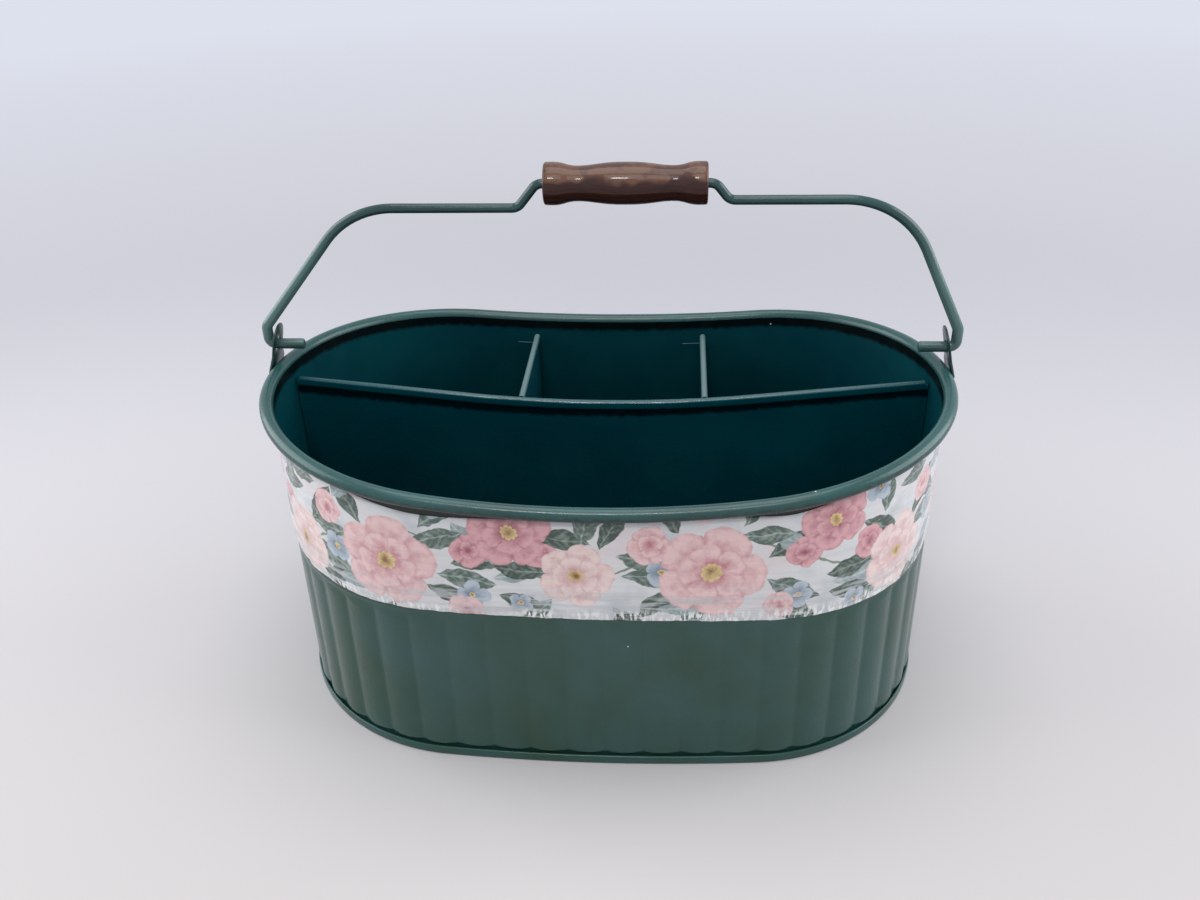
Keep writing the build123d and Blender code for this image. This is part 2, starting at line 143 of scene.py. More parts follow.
def lumps(spot, across, up=0.0, start=(0, 0)):
    """Smooth random number from -1 to 1, with so many lumps per millimetre level and upright."""
    return noise.noise(Vector((spot.x * across + start[0], spot.y * across + start[1], spot.z * up)))


def add_object(name, data):
    """Put a mesh, a camera or a lamp into the scene as an object."""
    made = bpy.data.objects.new(name, data)
    bpy.context.scene.collection.objects.link(made)
    return made


def mesh_object(name, mesh):
    """Turn a finished bmesh into an object."""
    data = bpy.data.meshes.new(name)
    mesh.to_mesh(data)
    mesh.free()
    return add_object(name, data)


# Meshes of the pieces
def piece(name, mesh, body):
    """Turn a finished bmesh into a smooth piece of the object that rides on a body."""
    made = mesh_object(name, mesh)
    for face in made.data.polygons:
        face.use_smooth = True
    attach(made, body)
    return made


def skin(columns, rows, place):
    """Flat grid laid over the basket: place(share, row) gives each corner's spot.

    Its UV map keeps real metres: the way round, and the height."""
    mesh = bmesh.new()
    chart = mesh.loops.layers.uv.new("UVMap")
    bmesh.ops.create_grid(mesh, x_segments=columns, y_segments=rows, size=0.5)
    shares = {}
    for corner in mesh.verts:
        share, row = corner.co.x + 0.5, corner.co.y + 0.5
        shares[corner.index] = share
        corner.co = place(share, row) * MM
    for face in mesh.faces:
        for loop in face.loops:
            loop[chart].uv = (shares[loop.vert.index] * GIRTH * MM, loop.vert.co.z)
    bmesh.ops.remove_doubles(mesh, verts=mesh.verts[:], dist=WELD * MM)
    return mesh


def thicken(made, thickness, inner_slot=0, edges=False):
    """Give a skin the thickness of its sheet, with another finish on its inner side where wanted.

    Its edges are closed only when asked for: those of wall and pan lie hidden in folds."""
    solid = made.modifiers.new("sheet", "SOLIDIFY")
    solid.thickness = thickness * MM
    solid.offset = -1.0
    solid.material_offset = inner_slot
    solid.use_rim = edges


def eased(node_name, width, segments=2, angle=28, splay=0.0):
    """Copy of a CAD piece whose edges sharper than an angle are eased, so that they catch the light.

    With splay, its ends spread by that much towards the top, so that they lie on the wall."""
    mesh = bmesh.new()
    mesh.from_mesh(frame["nodes"][node_name].data)
    bmesh.ops.remove_doubles(mesh, verts=mesh.verts[:], dist=CAD_WELD * MM)
    bmesh.ops.dissolve_limit(mesh, angle_limit=radians(0.8), verts=mesh.verts[:], edges=mesh.edges[:])
    sharp = [e for e in mesh.edges if e.is_manifold and e.calc_face_angle(0) > radians(angle)]
    bmesh.ops.bevel(
        mesh, geom=sharp, offset=width * MM, segments=segments, profile=0.5, affect="EDGES",
        clamp_overlap=True, material=-1,
    )
    for corner in mesh.verts:
        if abs(corner.co.x) > SPLAY_REACH * MM:
            side = 1 if corner.co.x > 0 else -1
            corner.co.x += splay * MM * side * corner.co.z / (SPLAY_HEIGHT * MM)
    made = piece(node_name + "_eased", mesh, frame["nodes"][node_name]["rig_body"])
    made.data.set_sharp_from_angle(angle=radians(40))
    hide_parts(node_name)
    return made


def flute(share):
    """Rounded flute, 1 on its crest and 0 in the sharp valley on either side of it."""
    return 1 - (2 * ((share - FLUTE_START) * FLUTES % 1.0) - 1) ** 2


def wall_out(share, z):
    """Outer face of the sheet wall, outwards from the rim's centre line."""
    if z >= LEDGE_TOP:
        return band_out
    if z >= LEDGE_FOOT:
        radius = ((LEDGE_TOP - LEDGE_FOOT) ** 2 + LEDGE_INSET**2) / (2 * LEDGE_INSET)
        return band_out - radius + sqrt(radius**2 - (LEDGE_TOP - z) ** 2)
    if z < FLUTE_FOOT - TURN_HEIGHT:
        return neck_out - GROOVE_DEPTH
    fade = clamped((FLUTE_TOP - z) / FLUTE_FADE)
    fade = fade * fade * (3 - 2 * fade)
    roll = ROLL_PROUD * exp(-(((z - ROLL_HEIGHT) / ROLL_SPREAD) ** 2))
    turned_in = TURN_IN if z < FLUTE_FOOT else 0.0
    return neck_out + fade * (FLUTE_DEPTH * flute(share) - VALLEY_SET_BACK) + roll - turned_in


# Heights of the wall's rows of corners: close together where seam, flutes and ledge bend it. The band
# above them has evenly spaced rows that follow the saddle.
WALL_HEIGHTS = (
    [1.6, 4.4, FLUTE_FOOT - 0.5, FLUTE_FOOT - 0.15, FLUTE_FOOT + 0.25, 8.0]
    + [10.0 + 69 * k / 8 for k in range(9)]
    + [79.6 + 0.6 * k for k in range(14)]
    + [LEDGE_FOOT - 0.8 + 0.9 * k for k in range(11)]
)
BAND_ROWS = 6
WALL_ROWS = len(WALL_HEIGHTS) + BAND_ROWS - 1


def wall_place(share, row):
    """Corner of the wall's skin, from the foot seam to the middle of the rolled rim."""
    share += FLUTE_START
    spot, outward = plan_place(share)
    index = round(row * WALL_ROWS)
    if index < len(WALL_HEIGHTS):
        z = WALL_HEIGHTS[index]
    else:
        low = WALL_HEIGHTS[-1]
        z = low + (rim_z(spot.x) - low) * (index - len(WALL_HEIGHTS) + 1) / BAND_ROWS
    ripple = WALL_RIPPLE * lumps(Vector((spot.x, spot.y, z)), 0.02, 0.02)
    spot = spot + outward * (wall_out(share, z) + ripple)
    spot.z = z
    return spot


wall_mesh = skin(columns=FLUTES * 16, rows=WALL_ROWS, place=wall_place)
wall = piece("wall_sheet", wall_mesh, "body")
thicken(wall, SHEET, inner_slot=1)
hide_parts("body_wall")


def bead_turn(face):
    """Share of a full turn at which a face lies on the bead, from its outer side over its top."""
    spot = face.calc_center_median() / MM
    side = spot.xy.normalized().dot(face.normal.xy)
    return (atan2(face.normal.z, side) / (2 * pi)) % 1.0


def bead_place(share, row):
    """Corner of the rolled rim: a round bead that follows the saddle."""
    spot, outward = plan_place(share)
    around = 2 * pi * row
    radius = BEAD_RADIUS + BEAD_DENT * lumps(spot, 0.05)
    z = rim_z(spot.x) + radius * sin(around)
    spot = spot + outward * (radius * cos(around))
    spot.z = z
    return spot


rim_mesh = skin(columns=520, rows=24, place=bead_place)
# the wall's sheet covers the bead's lower inner quarter
covered = [face for face in rim_mesh.faces if 0.5 < bead_turn(face) < 0.75]
bmesh.ops.delete(rim_mesh, geom=covered, context="FACES")
rim = piece("rolled_rim", rim_mesh, "body")
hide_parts("body_wall")

# Floor pan: recessed floor, folded down and round the wall's foot as a rounded seam. Its profile runs
# over the outer face from the floor to the tip of the fold, outwards from the rim's centre line.
chuck = neck_out - SHEET - LAY_GAP - SHEET
foot_out = neck_out + FOOT_PROUD


def quarter(out, z, radius, start):
    """Points of a quarter turn round a centre, from a start angle in degrees, turning left."""
    turns = [radians(start + step) for step in range(0, 91, 15)]
    return [(out + radius * cos(turn), z + radius * sin(turn)) for turn in turns]


PAN_PROFILE = (
    [(chuck - 40, FLOOR_HEIGHT), (chuck - 12, FLOOR_HEIGHT), (chuck - 3, FLOOR_HEIGHT)]
    + quarter(chuck - CHUCK_BEND, FLOOR_HEIGHT - CHUCK_BEND, CHUCK_BEND, 0)[::-1]
    + quarter(chuck + HEEL_BEND, HEEL_BEND, HEEL_BEND, 180)
    + quarter(foot_out - TOE_BEND, TOE_BEND, TOE_BEND, 270)
    + quarter(foot_out - SEAM_BEND, FOOT_HEIGHT - SEAM_BEND, SEAM_BEND, 0)
    + quarter(neck_out + LAY_GAP + TIP_BEND, FOOT_HEIGHT - TIP_BEND, TIP_BEND, 90)
)


def pan_place(share, row):
    """Corner of the floor pan, from the middle of the floor outwards."""
    spot, outward = plan_place(share)
    step = round(row * len(PAN_PROFILE))
    if step == 0:
        return Vector((spot.x * FLOOR_SPINE, 0, FLOOR_HEIGHT))
    out, z = PAN_PROFILE[step - 1]
    spot = spot + outward * out
    spot.z = z
    return spot


pan_mesh = skin(columns=360, rows=len(PAN_PROFILE), place=pan_place)
pan = piece("floor_pan", pan_mesh, "body")
thicken(pan, SHEET, inner_slot=1)
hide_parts("base_plate")

# Printed film: glued round the band, drawn in over the ledge, crinkled along its lower edge
FILM_GAP, FILM_TOP_DROP = 0.08, 1.1
film_out = band_out + FILM_GAP + FILM
# its ends overlap in the middle of the rear, and the outer end steps down within STEP_WIDTH
FILM_OVERLAP, STEP_WIDTH = 9.5, 0.8
# its straight upper edge stays clear of the bead in two places at the front: middle, spread, drop
FILM_DIPS = ((-76, 34, 4.2), (84, 18, 3.2))
# rows of corners crowd by this power towards the crinkled strip above its lower edge
ROWS_CROWD, CRINKLED_STRIP = 1.7, 9
# crinkles lift it off the wall by a mean, more or less by a swing, and press it in at most so far
CRINKLE_MEAN, CRINKLE_SWING, CRINKLE_LOWEST = 0.16, 0.34, -0.1
# soft waves all over it, and long level dents round a height above the ledge's foot
WAVE_DEPTH, DENT_HEIGHT, DENT_DEPTH = 0.05, 12, 0.45
# its lower edge was laid askew along the front: drop in the middle, and more of it to the right
ASKEW_DROP, ASKEW_SLOPE, ASKEW_BLEND, EDGE_WOBBLE = 1.3, 0.011, 60, 0.35
# the ears' legs take its place on the wall, near the two ends
NOTCH_ROOM, NOTCH_FOOT, NOTCH_REACH = 0.6, 142.0, 150.0


def film_place(share, row):
    """Corner of the film's outer face."""
    spot, outward = plan_place(share)
    top = rim_z(spot.x) - BEAD_RADIUS - FILM_TOP_DROP
    if spot.y < 0:
        top -= sum(drop * exp(-(((spot.x - middle) / spread) ** 2)) for middle, spread, drop in FILM_DIPS)
    z = LEDGE_FOOT + (top - LEDGE_FOOT) * row**ROWS_CROWD
    low = max(0, 1 - (z - LEDGE_FOOT) / CRINKLED_STRIP)
    overlap = FILM * clamped((FILM_OVERLAP - share * GIRTH) / STEP_WIDTH)
    ring = Vector((spot.x, spot.y, z))
    crinkle = lumps(ring, 0.21, 0.03) + 0.6 * lumps(ring, 0.52, 0.06, start=(7, 0))
    lift = max(low * low * (CRINKLE_MEAN + CRINKLE_SWING * crinkle), CRINKLE_LOWEST)
    dented = max(0, 1 - abs(z - LEDGE_FOOT - DENT_HEIGHT) / DENT_HEIGHT)
    soft = WAVE_DEPTH * lumps(ring, 0.045, 0.05, start=(3, 5))
    soft += DENT_DEPTH * dented * (0.6 + lumps(ring, 0.022, 0.3, start=(1, 4)))
    askew = (ASKEW_DROP + ASKEW_SLOPE * spot.x) * clamped(-spot.y / ASKEW_BLEND)
    off_wall = film_out - band_out + lift + soft + overlap
    spot = spot + outward * (wall_out(0, max(z, LEDGE_FOOT)) + off_wall)
    spot.z = z - low * (askew + EDGE_WOBBLE * lumps(ring, 0.12))
    return spot


def under_ear(face):
    """Whether a face of the film lies where an ear's leg is."""
    spot = face.calc_center_median() / MM
    beside = abs(spot.y - HINGE_Y) < EAR_LEG_WIDTH / 2 + NOTCH_ROOM
    return beside and spot.z > NOTCH_FOOT and abs(spot.x) > NOTCH_REACH


film_mesh = skin(columns=840, rows=26, place=film_place)
bmesh.ops.delete(film_mesh, geom=[face for face in film_mesh.faces if under_ear(face)], context="FACES")
film = piece("floral_film", film_mesh, "body")
thicken(film, FILM, edges=True)
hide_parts("floral_band")

# Wooden grip, turned on a lathe: profile of its left half, from the bore outwards, and the whole of it
LEFT_HALF = [
    (-37.0, 2.6), (-37.0, 8.8), (-36.8, 9.3), (-36.2, 9.6), (-34.5, 9.65), (-32.6, 9.65), (-30.8, 9.55),
    (-28.6, 9.15), (-26.2, 8.45), (-23.6, 7.98), (-20.8, 7.9), (-17.4, 8.1), (-13.2, 8.65), (-8.6, 9.2),
    (-4.2, 9.46),
]
GRIP_PROFILE = LEFT_HALF + [(0.0, 9.5)] + [(-along, out) for along, out in reversed(LEFT_HALF)]
grip_mesh = bmesh.new()
ring = [
    grip_mesh.verts.new(Vector((GRIP_X + along, HINGE_Y, GRIP_Z + out)) * MM)
    for along, out in GRIP_PROFILE
]
outline = [grip_mesh.edges.new((a, b)) for a, b in zip(ring, ring[1:] + ring[:1])]
bmesh.ops.spin(
    grip_mesh, geom=ring + outline, cent=Vector((GRIP_X, HINGE_Y, GRIP_Z)) * MM, axis=(1, 0, 0),
    angle=2 * pi, steps=72, use_merge=True, use_duplicate=False,
)
bmesh.ops.remove_doubles(grip_mesh, verts=grip_mesh.verts[:], dist=WELD * MM)
bmesh.ops.recalc_face_normals(grip_mesh, faces=grip_mesh.faces[:])
grip = piece("turned_grip", grip_mesh, "grip")
grip.data.set_sharp_from_angle(angle=radians(50))
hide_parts("wooden_grip")

ears = [eased("ear_left", 0.25), eased("ear_right", 0.25)]
long_divider = eased("long_divider", 0.1, angle=60, splay=1.2)
# A second map keeps the depth below the rim's centre line in metres, for the painted shade under hem and
# bead
for charted in (long_divider, wall, rim):
    drop_chart = charted.data.uv_layers.new(name="BelowRim")
    for corner in charted.data.loops:
        spot = charted.data.vertices[corner.vertex_index].co / MM
        drop_chart.data[corner.index].uv = (spot.x * MM, (rim_z(spot.x) - spot.z) * MM)
bail = eased("bail_wire", 0.9, segments=3, angle=60)


# Materials
def spaced(size):
    """Scale that gives a pattern in object space a spacing in millimetres."""
    return 1 / (size * MM)


def linear(code):
    """sRGB hex colour as linear light."""
    parts = [int(code[i:i + 2], 16) / 255 for i in (1, 3, 5)]
    return tuple(p / 12.92 if p <= 0.04045 else ((p + 0.055) / 1.055) ** 2.4 for p in parts) + (1.0,)


def feed(tree, made, links):
    """Feed a node's sockets with values or with other nodes' outputs."""
    for socket, value in links.items():
        if isinstance(value, bpy.types.NodeSocket):
            tree.links.new(value, made.inputs[socket])
        else:
            made.inputs[socket].default_value = value


def node(tree, kind, links=None, out=0, **settings):
    """Add a node with its settings and links, and give back one of its outputs."""
    made = tree.nodes.new(kind)
    for name, value in settings.items():
        setattr(made, name, value)
    feed(tree, made, links or {})
    return made.outputs[out] if made.outputs else made


# Settings of a mix node that blends two colours
COLOURS = {"out": 2, "data_type": "RGBA"}


def material(name):
    """New material whose one shader is wired to its output."""
    made = bpy.data.materials.new(name)
    made.use_nodes = True
    tree = made.node_tree
    tree.nodes.clear()
    shader = tree.nodes.new("ShaderNodeBsdfPrincipled")
    output = tree.nodes.new("ShaderNodeOutputMaterial")
    tree.links.new(shader.outputs[0], output.inputs[0])
    return made, tree, shader


def dress(pieces, *paints):
    """Give pieces these materials, slot by slot, in place of what they had."""
    for each in pieces:
        each.data.materials.clear()
        for paint in paints:
            each.data.materials.append(paint)


def upward(tree):
    """How far a face looks up: 1 for a level top, 0 for an upright side."""
    facing = node(tree, "ShaderNodeTexCoord", out=1)
    return node(tree, "ShaderNodeSeparateXYZ", {0: facing}).node.outputs[2]


# Ends of the stretches over which the painted sheen on the bail's arms fades in and out, as heights
ARM_SHEEN_IN, ARM_SHEEN_OUT = (162, 176), (205, 235)
# Fade of a band of painted shade at its lower and upper end, and how far its ends stray
SHADE_FADE, HEM_FADE, SHADE_STRAY = 2, 1, 3


def gloss_enamel(name, deep, pale, roughness, lit_top_colour=None, peel_height=0.12, shade_band=None, arm_sheen=None):
    """Stoved gloss enamel on sheet steel: a dark green coat that drifts between an olive and a bluish
    cast, with sprayed-on orange peel and a few pale dust nibs. Faces that look up can be given a
    painted highlight in a paler colour, a band below the rim's centre line painted shade under a hem
    or bead, and low on the bail's arms a painted sheen. A band of shade is given as its colour and
    the depths below the rim where it starts and ends."""
    made, tree, shader = material(name)
    where = node(tree, "ShaderNodeTexCoord", out=3)
    # drifts of colour about 45 mm across, broken up down to a few millimetres
    drift = node(
        tree, "ShaderNodeTexNoise",
        {"Vector": where, "Scale": spaced(45.45), "Detail": 5.0, "Roughness": 0.5},
    )
    drift = node(tree, "ShaderNodeMapRange", {"Value": drift, "From Min": 0.35, "From Max": 0.65})
    colour = node(tree, "ShaderNodeMix", {0: drift, 6: linear(deep), 7: linear(pale)}, **COLOURS)
    if lit_top_colour:
        # painted highlight: faces that look up are painted in the paler given colour, with more specular
        top = upward(tree)
        lit_share = node(tree, "ShaderNodeMapRange", {"Value": top, "From Min": 0.1, "From Max": 0.9})
        colour = node(tree, "ShaderNodeMix", {0: lit_share, 6: colour, 7: linear(lit_top_colour)}, **COLOURS)
        sheen = node(
            tree, "ShaderNodeMapRange",
            {"Value": top, "From Min": 0.1, "From Max": 0.5, "To Min": 0.15, "To Max": 0.6},
        )
        feed(tree, shader, {"Specular IOR Level": sheen})
    if shade_band:
        # painted shade: a dark band at a depth below the rim's centre line, with ragged ends
        shade_colour, shade_start, shade_end = shade_band
        chart = node(tree, "ShaderNodeUVMap", uv_map="BelowRim")
        below = node(tree, "ShaderNodeSeparateXYZ", {0: chart}).node.outputs[1]
        ragged = node(tree, "ShaderNodeTexNoise", {"Vector": where, "Scale": spaced(3.333), "Detail": 3.0})
        below = node(
            tree, "ShaderNodeMath", {0: ragged, 1: SHADE_STRAY * MM, 2: below}, operation="MULTIPLY_ADD",
        )
        shade_share = node(
            tree, "ShaderNodeMapRange",
            {"Value": below, "From Min": shade_end * MM, "From Max": (shade_end - SHADE_FADE) * MM},
        )
        hem = node(
            tree, "ShaderNodeMapRange",
            {"Value": below, "From Min": shade_start * MM, "From Max": (shade_start + HEM_FADE) * MM},
        )
        shade_share = node(tree, "ShaderNodeMath", {0: shade_share, 1: hem}, operation="MULTIPLY")
        colour = node(tree, "ShaderNodeMix", {0: shade_share, 6: colour, 7: linear(shade_colour)}, **COLOURS)
    if arm_sheen:
        # painted sheen: the bail's arms are paler between the hinge and their upper part
        height = node(tree, "ShaderNodeSeparateXYZ", {0: where}).node.outputs[2]
        arm_sheen_share, hinge = [
            node(tree, "ShaderNodeMapRange", {"Value": height, "From Min": start * MM, "From Max": end * MM})
            for start, end in (ARM_SHEEN_OUT[::-1], ARM_SHEEN_IN)
        ]
        arm_sheen_share = node(tree, "ShaderNodeMath", {0: arm_sheen_share, 1: hinge}, operation="MULTIPLY")
        colour = node(tree, "ShaderNodeMix", {0: arm_sheen_share, 6: colour, 7: linear(arm_sheen)}, **COLOURS)
    # dust nibs half a millimetre wide, some 25 mm apart
    nibs = node(tree, "ShaderNodeTexVoronoi", {"Vector": where, "Scale": spaced(25)}, feature="F1")
    nib = node(
        tree, "ShaderNodeMapRange", {"Value": nibs, "From Min": 0.018, "From Max": 0.011, "To Max": 0.9},
    )
    colour = node(tree, "ShaderNodeMix", {0: nib, 6: colour, 7: linear("#e3ebe8")}, **COLOURS)
    # patches of rubbed and fresh gloss about 11 mm across
    rub = node(tree, "ShaderNodeTexNoise", {"Vector": where, "Scale": spaced(11.11), "Detail": 3.0})
    smoothest, roughest = roughness - 0.04, roughness + 0.06
    rough = node(
        tree, "ShaderNodeMapRange",
        {"Value": rub, "From Min": 0.3, "From Max": 0.7, "To Min": smoothest, "To Max": roughest},
    )
    # orange peel: humps 1.5 mm apart, and level lines, 4 mm long and 0.8 mm apart, that fray the edges
    # of reflections
    peel = node(tree, "ShaderNodeTexNoise", {"Vector": where, "Scale": spaced(1.538), "Detail": 2.0})
    line_scale = (spaced(4), spaced(4), spaced(0.7692))
    squeezed = node(tree, "ShaderNodeMapping", {"Vector": where, "Scale": line_scale})
    lines = node(tree, "ShaderNodeTexNoise", {"Vector": squeezed, "Scale": 1.0, "Detail": 1.0})
    height = node(tree, "ShaderNodeMath", {0: lines, 1: 0.8, 2: peel}, operation="MULTIPLY_ADD")
    bump = node(tree, "ShaderNodeBump", {"Height": height, "Strength": peel_height, "Distance": 0.4 * MM})
    feed(tree, shader, {"Base Color": colour, "Roughness": rough, "Normal": bump, "IOR": 1.5})
    return made


# The print repeats this often round the band, and each repeat may stray from the next: millimetres
# across and up, radians of turn, share of growth
REPEATS = 6
TILE = GIRTH / REPEATS
STRAY_ACROSS, STRAY_UP, STRAY_TURN, STRAY_GROWTH = 3.5, 3.0, 0.35, 0.1


def painted_motif(name, shape):
    """Node group that paints one motif over a canvas colour.

    It takes the place on the film in millimetres, turns it into the motif's own axes and repeats it
    every tile; shape(tree, x, y, given) gives the cover and the colour."""
    tree = bpy.data.node_groups.new(name, "ShaderNodeTree")
    for label, kind in (
        ("Place", "NodeSocketVector"), ("Canvas", "NodeSocketColor"), ("Bleed", "NodeSocketFloat"),
        ("Across", "NodeSocketFloat"), ("Up", "NodeSocketFloat"), ("Size", "NodeSocketFloat"),
        ("Turn", "NodeSocketFloat"), ("Seed", "NodeSocketFloat"), ("Pale", "NodeSocketColor"),
        ("Deep", "NodeSocketColor"),
    ):
        tree.interface.new_socket(label, in_out="INPUT", socket_type=kind)
    tree.interface.new_socket("Canvas", in_out="OUTPUT", socket_type="NodeSocketColor")
    given = tree.nodes.new("NodeGroupInput").outputs
    parts = node(tree, "ShaderNodeSeparateXYZ", {0: given["Place"]}).node.outputs
    across = node(tree, "ShaderNodeMath", {0: parts[0], 1: given["Across"]}, operation="SUBTRACT")
    # each repeat shifts, turns and grows a little in its own way
    repeat = node(tree, "ShaderNodeMath", {0: across, 1: 1 / TILE, 2: 0.5}, operation="MULTIPLY_ADD")
    repeat = node(tree, "ShaderNodeMath", {0: repeat}, operation="FLOOR")
    repeat = node(tree, "ShaderNodeMath", {0: repeat, 1: float(REPEATS)}, operation="FLOORED_MODULO")
    chances = []
    for step in (2.4, 3.7, 5.3):
        phase = node(
            tree, "ShaderNodeMath", {0: repeat, 1: step, 2: given["Seed"]}, operation="MULTIPLY_ADD",
        )
        chances.append(node(tree, "ShaderNodeMath", {0: phase}, operation="SINE"))
    across = node(tree, "ShaderNodeMath", {0: across, 1: TILE / 2, 2: -TILE / 2}, operation="WRAP")
    across = node(
        tree, "ShaderNodeMath", {0: chances[0], 1: STRAY_ACROSS, 2: across}, operation="MULTIPLY_ADD",
    )
    up = node(tree, "ShaderNodeMath", {0: parts[1], 1: given["Up"]}, operation="SUBTRACT")
    up = node(tree, "ShaderNodeMath", {0: chances[1], 1: STRAY_UP, 2: up}, operation="MULTIPLY_ADD")
    turn = node(
        tree, "ShaderNodeMath",
        {0: chances[2], 1: STRAY_TURN, 2: given["Turn"]}, operation="MULTIPLY_ADD",
    )
    growth = node(tree, "ShaderNodeMath", {0: chances[1], 1: STRAY_GROWTH, 2: 1.0}, operation="MULTIPLY_ADD")
    size = node(tree, "ShaderNodeMath", {0: given["Size"], 1: growth}, operation="MULTIPLY")
    along = node(tree, "ShaderNodeMath", {0: across, 1: size}, operation="DIVIDE")
    above = node(tree, "ShaderNodeMath", {0: up, 1: size}, operation="DIVIDE")
    cosine = node(tree, "ShaderNodeMath", {0: turn}, operation="COSINE")
    sine = node(tree, "ShaderNodeMath", {0: turn}, operation="SINE")
    x = node(tree, "ShaderNodeMath", {0: above, 1: sine}, operation="MULTIPLY")
    x = node(tree, "ShaderNodeMath", {0: along, 1: cosine, 2: x}, operation="MULTIPLY_ADD")
    y = node(tree, "ShaderNodeMath", {0: along, 1: sine}, operation="MULTIPLY")
    above = node(tree, "ShaderNodeMath", {0: above, 1: cosine}, operation="MULTIPLY")
    y = node(tree, "ShaderNodeMath", {0: above, 1: y}, operation="SUBTRACT")
    cover, colour = shape(tree, x, y, given)
    painted = node(tree, "ShaderNodeMix", {0: cover, 6: given["Canvas"], 7: colour}, **COLOURS)
    node(tree, "NodeGroupOutput", {0: painted})
    return tree


def petals(count, notch, turn=0.0):
    """Shape of a ring of rounded petals, for a motif, with notches this deep between them."""
    def shape(tree, x, y, given):
        angle = node(tree, "ShaderNodeMath", {0: y, 1: x}, operation="ARCTAN2")
        angle = node(tree, "ShaderNodeMath", {0: angle, 1: count / 2, 2: turn}, operation="MULTIPLY_ADD")
        lobe = node(tree, "ShaderNodeMath", {0: angle}, operation="COSINE")
        lobe = node(tree, "ShaderNodeMath", {0: lobe}, operation="ABSOLUTE")
        round_lobe = node(tree, "ShaderNodeMath", {0: lobe, 1: 0.45}, operation="POWER")
        edge = node(
            tree, "ShaderNodeMath", {0: round_lobe, 1: notch, 2: 1 - notch}, operation="MULTIPLY_ADD",
        )
        flat = node(tree, "ShaderNodeCombineXYZ", {0: x, 1: y})
        radius = node(tree, "ShaderNodeVectorMath", {0: flat}, out=1, operation="LENGTH")
        tone = node(tree, "ShaderNodeMath", {0: radius, 1: edge}, operation="DIVIDE")
        cover = node(
            tree, "ShaderNodeMapRange",
            {"Value": tone, "From Min": 1.0, "From Max": 0.95}, interpolation_type="SMOOTHSTEP",
        )
        # deep near the heart and in the folds between petals, pale on the petals, a drawn edge
        heart = node(tree, "ShaderNodeMapRange", {"Value": tone, "From Min": 0.85, "From Max": 0.1})
        fold = node(
            tree, "ShaderNodeMapRange",
            {"Value": lobe, "From Min": 0.35, "From Max": 0.0, "To Max": 0.55},
        )
        brim = node(
            tree, "ShaderNodeMapRange",
            {"Value": tone, "From Min": 0.9, "From Max": 1.0, "To Max": 0.45},
        )
        shade = node(tree, "ShaderNodeMath", {0: heart, 1: fold}, operation="MAXIMUM")
        shade = node(tree, "ShaderNodeMath", {0: shade, 1: brim}, operation="MAXIMUM")
        bleed = node(tree, "ShaderNodeMath", {0: given["Bleed"], 1: 0.7, 2: -0.35}, operation="MULTIPLY_ADD")
        shade = node(tree, "ShaderNodeMath", {0: shade, 1: bleed}, operation="ADD", use_clamp=True)
        colour = node(tree, "ShaderNodeMix", {0: shade, 6: given["Pale"], 7: given["Deep"]}, **COLOURS)
        return cover, colour
    return shape


# Half width of a leaf as a share of its length
LEAF_HALF = 0.2


def leaf_blade(tree, x, y, given):
    """Shape of a pointed leaf with a pale midrib, from its stalk to its tip along x."""
    along = node(tree, "ShaderNodeMath", {0: x, 1: pi}, operation="MULTIPLY")
    belly = node(tree, "ShaderNodeMath", {0: along}, operation="SINE")
    half_width = node(tree, "ShaderNodeMath", {0: belly, 1: LEAF_HALF}, operation="MULTIPLY")
    off = node(tree, "ShaderNodeMath", {0: y}, operation="ABSOLUTE")
    room = node(tree, "ShaderNodeMath", {0: half_width, 1: off}, operation="SUBTRACT")
    cover = node(
        tree, "ShaderNodeMapRange",
        {"Value": room, "From Min": 0.0, "From Max": 0.02}, interpolation_type="SMOOTHSTEP",
    )
    inside = node(tree, "ShaderNodeMath", {0: x, 1: 0.5, 2: 0.499}, operation="COMPARE")
    cover = node(tree, "ShaderNodeMath", {0: cover, 1: inside}, operation="MULTIPLY")
    veins = node(tree, "ShaderNodeMath", {0: off, 1: -1.1, 2: x}, operation="MULTIPLY_ADD")
    veins = node(tree, "ShaderNodeMath", {0: veins, 1: 44.0}, operation="MULTIPLY")
    veins = node(tree, "ShaderNodeMath", {0: veins}, operation="SINE")
    veins = node(tree, "ShaderNodeMath", {0: veins, 1: 0.16, 2: 0.35}, operation="MULTIPLY_ADD")
    rib = node(
        tree, "ShaderNodeMapRange", {"Value": off, "From Min": 0.022, "From Max": 0.008, "To Max": -0.6},
    )
    shade = node(tree, "ShaderNodeMath", {0: veins, 1: rib}, operation="ADD")
    shade = node(tree, "ShaderNodeMath", {0: shade, 1: given["Bleed"]}, operation="ADD", use_clamp=True)
    colour = node(tree, "ShaderNodeMix", {0: shade, 6: given["Pale"], 7: given["Deep"]}, **COLOURS)
    return cover, colour


# Print: a generic garland. Open five-petal blossoms, pointed leaves, buds and small grey-blue stars
# crowd a waving stem on a white ground with pale washes. Inks are pairs, pale and deep.
PINK = ("#ebcaca", "#bd7583")
ROSE = ("#deabb1", "#a05569")
BLUSH = ("#eed8d5", "#cc979d")
SAGE = ("#a8b6b1", "#52685f")
MOSS = ("#8c9d96", "#3c4f46")
MIST = ("#bfcacc", "#90a1a4")
STAR = ("#b9c6d2", "#71859b")
OCHRE = ("#e0c98f", "#8d5c3c")
